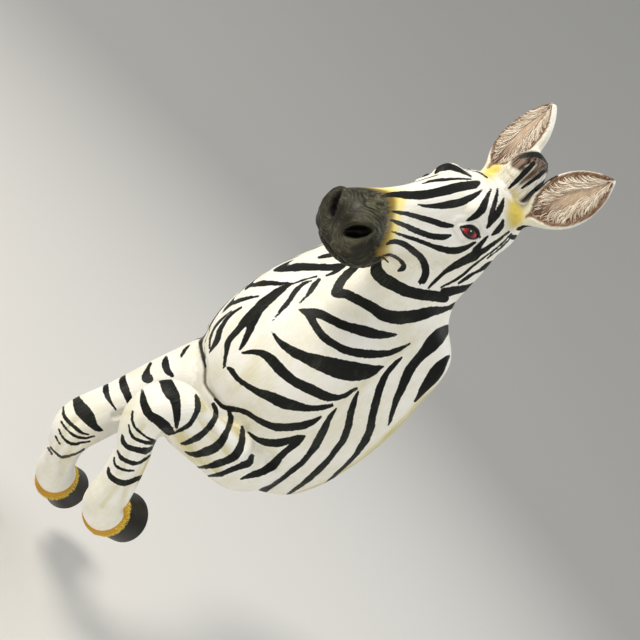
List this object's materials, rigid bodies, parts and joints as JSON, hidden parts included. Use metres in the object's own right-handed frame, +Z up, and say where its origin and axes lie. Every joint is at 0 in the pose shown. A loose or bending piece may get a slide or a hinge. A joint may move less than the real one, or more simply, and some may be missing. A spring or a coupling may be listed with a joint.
{
  "type": "zebra wall sculpture",
  "caption": "Front half of a zebra cast in one piece, with a flat back for hanging on a wall, raised ears, an upright mane and folded forelegs.",
  "frame": {"origin": "on the flat back, on the middle line of the breast, in the plane of the wall", "axes": "+Z up, +Y into the wall, so the head looks towards -Y; +X is the side of the zebra's left foreleg"},
  "size_m": [0.206, 0.257, 0.6421],
  "materials": {
    "painted_resin": "white and black paint over engraved cast resin, satin"
  },
  "bodies": {
    "root": {"zebra_figure": "painted_resin"}
  },
  "joints": []
}
